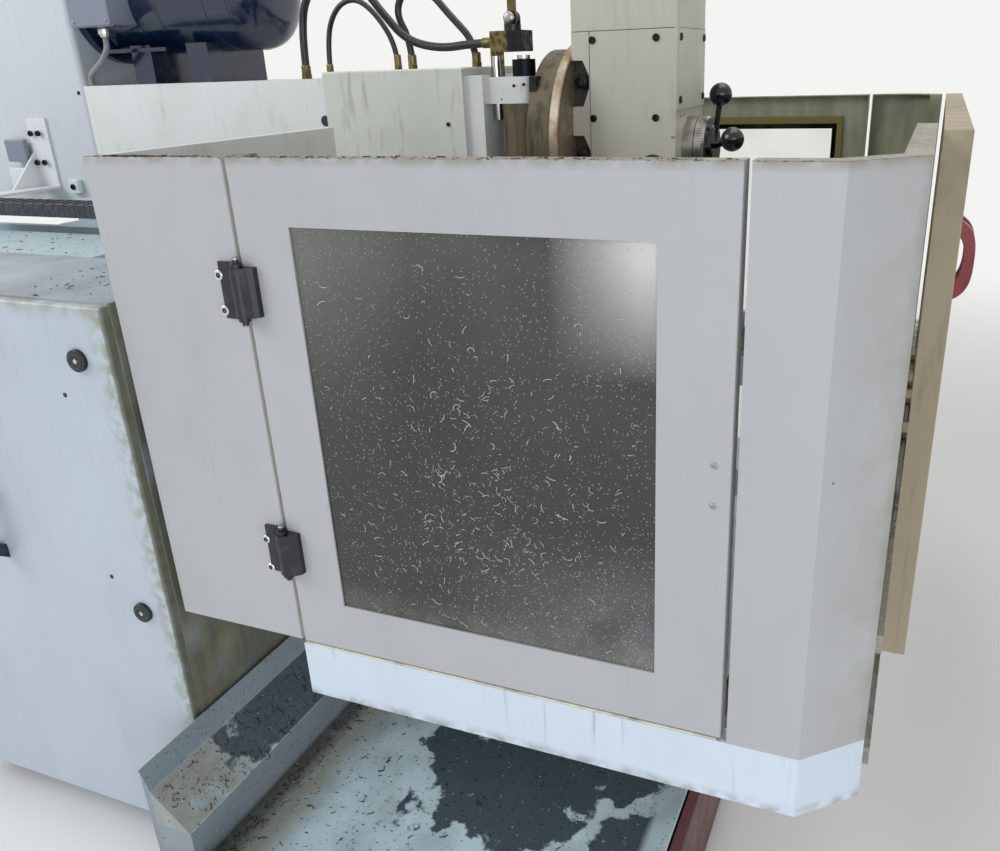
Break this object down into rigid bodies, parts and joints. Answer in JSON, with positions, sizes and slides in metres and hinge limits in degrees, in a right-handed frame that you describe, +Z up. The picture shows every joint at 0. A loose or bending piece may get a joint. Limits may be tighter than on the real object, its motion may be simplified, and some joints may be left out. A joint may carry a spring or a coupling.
{
  "type": "universal milling machine",
  "caption": "Ram-type universal milling machine with a swinging vertical head, knee table, splash cabin with hinged and sliding doors, chip tray, main motor and switch cabinet.",
  "frame": {"origin": "centre of the footprint box on the floor, below the levelling pads", "axes": "+X to the operator's right, +Y from the operator toward the back, +Z up"},
  "size_m": [2.28, 2.632, 2.01],
  "materials": {
    "cabin_paint": "light warm grey sheet metal paint, smudged",
    "front_paint": "tan grey sheet metal paint, grimy at its edges",
    "machine_paint": "off-white machine paint with dark specks",
    "casting_paint": "light blue-green machine enamel, worn and wet",
    "base_paint": "dull red machine enamel",
    "cabinet_paint": "white cabinet paint with grime along its edges",
    "carrier_paint": "grey paint stained beige and brown by coolant",
    "window": "smoky machine window with chips on it",
    "handle_red": "arched red plastic grip",
    "black_plastic": "black moulded plastic",
    "black_metal": "black painted steel",
    "motor_paint": "glossy black motor paint",
    "steel": "ground steel",
    "dial_steel": "satin steel dial",
    "table_iron": "ground cast iron",
    "ring_steel": "graduated ring stained rusty brown",
    "chain_plastic": "black energy chain",
    "cable_grey": "grey sheathed cable",
    "hose_black": "black rubber hose",
    "brass": "machined brass",
    "galvanised": "plain mounting plate with grey modules"
  },
  "bodies": {
    "base": {"base_casting": "base_paint", "levelling_feet": "steel", "chip_tray": "casting_paint", "column_casting": "casting_paint", "chain_console": "casting_paint", "cabinet_body": "cabinet_paint", "switchgear": "galvanised", "energy_chain": "chain_plastic"},
    "cabinet_door": {"cabinet_door": "cabinet_paint", "cabinet_handle": "black_plastic"},
    "upper_lock": {"upper_lock": "black_plastic"},
    "lower_lock": {"lower_lock": "black_plastic"},
    "knee": {"knee_casting": "casting_paint", "cabin_frame": "cabin_paint", "rear_walls": "cabin_paint", "left_rear_panel": "cabin_paint", "right_rear_panel": "cabin_paint", "left_front_corner": "front_paint", "right_front_corner": "front_paint", "cabin_skirt": "cabin_paint", "front_apron": "cabin_paint", "door_rails": "steel", "hinge_leaves": "black_metal"},
    "left_door": {"left_door": "cabin_paint", "left_window": "window", "left_hinge_knuckles": "black_metal"},
    "right_door": {"right_door": "cabin_paint", "right_window": "window", "right_hinge_knuckles": "black_metal"},
    "front_left_door": {"front_left_door": "front_paint", "front_left_window": "window", "front_left_handle": "handle_red"},
    "front_right_door": {"front_right_door": "front_paint", "front_right_window": "window", "front_right_handle": "handle_red"},
    "table": {"work_table": "table_iron"},
    "ram": {"ram_casting": "machine_paint", "ram_cover": "machine_paint", "ram_front_cover": "machine_paint", "rear_housing": "machine_paint", "main_motor": "motor_paint", "motor_mounts": "machine_paint", "terminal_box": "motor_paint", "motor_cable": "cable_grey", "chain_bracket": "machine_paint", "coolant_block": "brass", "coolant_hoses": "hose_black", "hinge_pin": "steel"},
    "horizontal_spindle": {"horizontal_spindle": "steel"},
    "head_carrier": {"carrier_casting": "carrier_paint", "swivel_ring": "ring_steel"},
    "milling_head": {"head_casting": "machine_paint", "head_side_covers": "machine_paint", "head_top_cover": "machine_paint", "swivel_clamps": "black_metal"},
    "quill": {"quill_sleeve": "steel"},
    "vertical_spindle": {"vertical_spindle": "steel"},
    "feed_capstan": {"feed_capstan": "dial_steel"},
    "coolant_arm_lower": {"coolant_arm_lower": "brass"},
    "coolant_arm_upper": {"coolant_arm_upper": "brass"}
  },
  "joints": [
    {"name": "cabinet_door_hinge", "type": "hinge", "parent": "base", "child": "cabinet_door", "pos_m": [-0.965, 0.866, 0.67], "axis": [0, 0, -1], "range_deg": [0, 110]},
    {"name": "upper_lock_turn", "type": "hinge", "parent": "cabinet_door", "child": "upper_lock", "pos_m": [-0.965, 0.105, 1.148], "axis": [1, 0, 0], "range_deg": [0, 90]},
    {"name": "lower_lock_turn", "type": "hinge", "parent": "cabinet_door", "child": "lower_lock", "pos_m": [-0.965, 0.097, 0.645], "axis": [1, 0, 0], "range_deg": [0, 90]},
    {"name": "knee_slide", "type": "slide", "parent": "base", "child": "knee", "axis": [0, 0, 1], "range_m": [-0.22, 0.22]},
    {"name": "left_door_hinge", "type": "hinge", "parent": "knee", "child": "left_door", "pos_m": [-0.962, -0.2655, 1.062], "axis": [0, 0, -1], "range_deg": [0, 105]},
    {"name": "right_door_hinge", "type": "hinge", "parent": "knee", "child": "right_door", "pos_m": [0.962, -0.2655, 1.062], "axis": [0, 0, 1], "range_deg": [0, 105]},
    {"name": "front_left_door_slide", "type": "slide", "parent": "knee", "child": "front_left_door", "axis": [-1, 0, 0], "range_m": [0, 0.44]},
    {"name": "front_right_door_slide", "type": "slide", "parent": "knee", "child": "front_right_door", "axis": [1, 0, 0], "range_m": [0, 0.44]},
    {"name": "table_slide", "type": "slide", "parent": "knee", "child": "table", "axis": [1, 0, 0], "range_m": [-0.4, 0.4]},
    {"name": "ram_slide", "type": "slide", "parent": "base", "child": "ram", "axis": [0, -1, 0], "range_m": [-0.4, 0.215], "deforming": ["energy_chain"]},
    {"name": "horizontal_spindle_turn", "type": "hinge", "parent": "ram", "child": "horizontal_spindle", "pos_m": [0, -0.4, 1.43], "axis": [0, -1, 0], "continuous": true},
    {"name": "carrier_swing", "type": "hinge", "parent": "ram", "child": "head_carrier", "pos_m": [-0.116, -0.369, 1.43], "axis": [0, 0, -1], "range_deg": [0, 90]},
    {"name": "head_tilt", "type": "hinge", "parent": "head_carrier", "child": "milling_head", "pos_m": [0, -0.478, 1.43], "axis": [0, -1, 0], "range_deg": [-90, 90]},
    {"name": "quill_slide", "type": "slide", "parent": "milling_head", "child": "quill", "axis": [0, 0, -1], "range_m": [0, 0.08]},
    {"name": "vertical_spindle_turn", "type": "hinge", "parent": "quill", "child": "vertical_spindle", "pos_m": [0, -0.62, 1.2], "axis": [0, 0, 1], "continuous": true},
    {"name": "feed_capstan_turn", "type": "hinge", "parent": "milling_head", "child": "feed_capstan", "pos_m": [0, -0.73, 1.412], "axis": [0, -1, 0], "range_deg": [0, 271]},
    {"name": "coolant_arm_lower_turn", "type": "hinge", "parent": "ram", "child": "coolant_arm_lower", "pos_m": [-0.08, -0.33, 1.685], "axis": [1, 0, 0], "range_deg": [-20, 20]},
    {"name": "coolant_arm_upper_turn", "type": "hinge", "parent": "coolant_arm_lower", "child": "coolant_arm_upper", "pos_m": [-0.068, -0.33, 1.795], "axis": [1, 0, 0], "range_deg": [-40, 40]}
  ],
  "couplings": [
    {"joint": "feed_capstan_turn", "follows": "quill_slide", "rad_per_m": 58.905}
  ]
}
